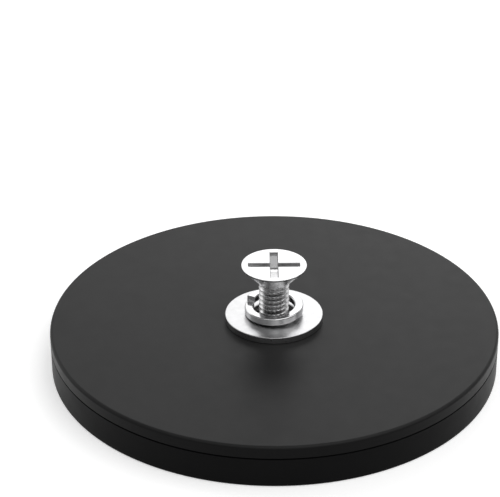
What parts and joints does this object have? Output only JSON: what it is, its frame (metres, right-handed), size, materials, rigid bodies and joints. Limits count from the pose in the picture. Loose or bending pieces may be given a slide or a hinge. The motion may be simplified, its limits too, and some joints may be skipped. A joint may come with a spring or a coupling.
{
  "type": "rubber coated mounting magnet",
  "caption": "Flat round rubber-coated magnet with a central threaded bush, holding a countersunk cross-recess screw with a loose flat washer and split lock washer.",
  "frame": {"origin": "centre of the flat pulling face, which the magnet stands on", "axes": "+Z along the screw, from the pulling face out through the screw head; +X along one slot of the cross recess at rest"},
  "size_m": [0.088, 0.088, 0.0207],
  "materials": {
    "rubber": "satin",
    "plated_steel": "polished",
    "bare_steel": "satin",
    "magnet": "satin"
  },
  "bodies": {
    "magnet_body": {"rubber_base": "rubber", "rubber_cover": "rubber", "backing_plate": "bare_steel", "threaded_bush": "bare_steel", "magnet_disc_01": "magnet", "magnet_disc_02": "magnet", "magnet_disc_03": "magnet", "magnet_disc_04": "magnet", "magnet_disc_05": "magnet", "magnet_disc_06": "magnet", "magnet_disc_07": "magnet", "magnet_disc_08": "magnet", "magnet_disc_09": "magnet", "magnet_disc_10": "magnet", "magnet_disc_11": "magnet", "magnet_disc_12": "magnet", "magnet_disc_13": "magnet", "magnet_disc_14": "magnet", "magnet_disc_15": "magnet", "magnet_disc_16": "magnet", "magnet_disc_17": "magnet", "magnet_disc_18": "magnet"},
    "washer": {"flat_washer": "plated_steel"},
    "lock_ring": {"lock_washer": "plated_steel"},
    "screw": {"countersunk_screw": "plated_steel"}
  },
  "joints": [
    {"name": "screw_turn", "type": "hinge", "parent": "magnet_body", "child": "lock_ring", "pos_m": [0, 0, 0.0085], "axis": [0, 0, 1], "range_deg": [-936, 1260]},
    {"name": "screw_travel", "type": "slide", "parent": "lock_ring", "child": "screw", "axis": [0, 0, 1], "range_m": [-0.0026, 0.0035]},
    {"name": "washer_spin", "type": "hinge", "parent": "magnet_body", "child": "washer", "pos_m": [0, 0, 0.0085], "axis": [0, 0, 1], "continuous": true}
  ],
  "couplings": [
    {"joint": "screw_turn", "follows": "screw_travel", "rad_per_m": 6283.2}
  ]
}
